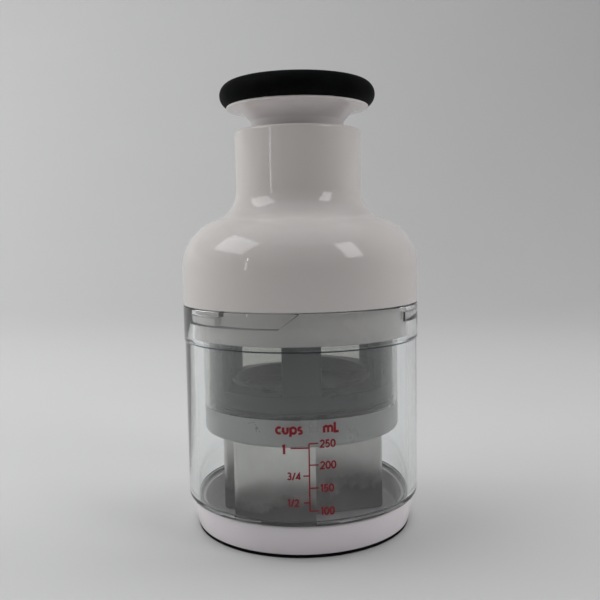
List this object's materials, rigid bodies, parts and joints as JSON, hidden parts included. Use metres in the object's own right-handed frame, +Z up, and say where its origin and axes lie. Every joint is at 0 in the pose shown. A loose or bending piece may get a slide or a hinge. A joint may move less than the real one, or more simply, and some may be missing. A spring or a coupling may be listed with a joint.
{
  "type": "plunger food chopper",
  "caption": "Round hand chopper: a plunger knob drives a turning zigzag blade through a guard into a clear measuring cup with a closed base.",
  "frame": {"origin": "middle of the face that the chopper stands on", "axes": "+Z up along the plunger, -Y to the front with the measuring scale, +X to the right"},
  "size_m": [0.095, 0.095, 0.178],
  "materials": {
    "white_plastic": "glossy moulded",
    "clear_plastic": "clear moulded",
    "frosted_plastic": "frosted moulded",
    "dark_plastic": "satin moulded",
    "grey_plastic": "satin moulded",
    "black_rubber": "soft satin",
    "seal_rubber": "satin",
    "blade_steel": "rolled sheet",
    "screw_steel": "bright"
  },
  "bodies": {
    "base": {"base_cap": "white_plastic", "base_foot_ring": "black_rubber", "base_seal": "seal_rubber"},
    "cup": {"clear_cup": "clear_plastic"},
    "housing": {"skirt_ring": "white_plastic", "housing_shell": "white_plastic", "neck_bush": "grey_plastic", "spring_seat": "dark_plastic", "seat_screws": "screw_steel", "index_crown": "grey_plastic", "guard_sleeve": "frosted_plastic", "stripper_clip": "frosted_plastic", "return_spring": "screw_steel"},
    "stripper": {"stripper_disc": "frosted_plastic"},
    "plunger": {"plunger_tube": "white_plastic", "knob_core": "dark_plastic", "knob_grip": "black_rubber", "drive_plate": "dark_plastic", "flange_screws": "screw_steel", "blade_frame": "dark_plastic", "leg_screws": "screw_steel"},
    "blades": {"rotor_disc": "grey_plastic", "rotor_shaft": "grey_plastic", "rotor_crown": "grey_plastic", "crown_screw": "screw_steel", "blade_strip": "blade_steel"}
  },
  "joints": [
    {"name": "cup_lift", "type": "slide", "parent": "base", "child": "cup", "axis": [0, 0, 1], "range_m": [0, 0.03]},
    {"name": "housing_twist", "type": "hinge", "parent": "cup", "child": "housing", "pos_m": [0, 0, 0.0854], "axis": [0, 0, 1], "range_deg": [0, 32]},
    {"name": "plunger_slide", "type": "slide", "parent": "housing", "child": "plunger", "axis": [0, 0, 1], "range_m": [0, 0.034], "deforming": ["return_spring"]},
    {"name": "blade_turn", "type": "hinge", "parent": "plunger", "child": "blades", "pos_m": [0, 0, 0.055], "axis": [0, 0, 1], "continuous": true},
    {"name": "stripper_turn", "type": "hinge", "parent": "housing", "child": "stripper", "pos_m": [0, 0, 0.0385], "axis": [0, 0, 1], "continuous": true}
  ],
  "couplings": [
    {"joint": "stripper_turn", "follows": "blade_turn", "ratio": 1}
  ]
}
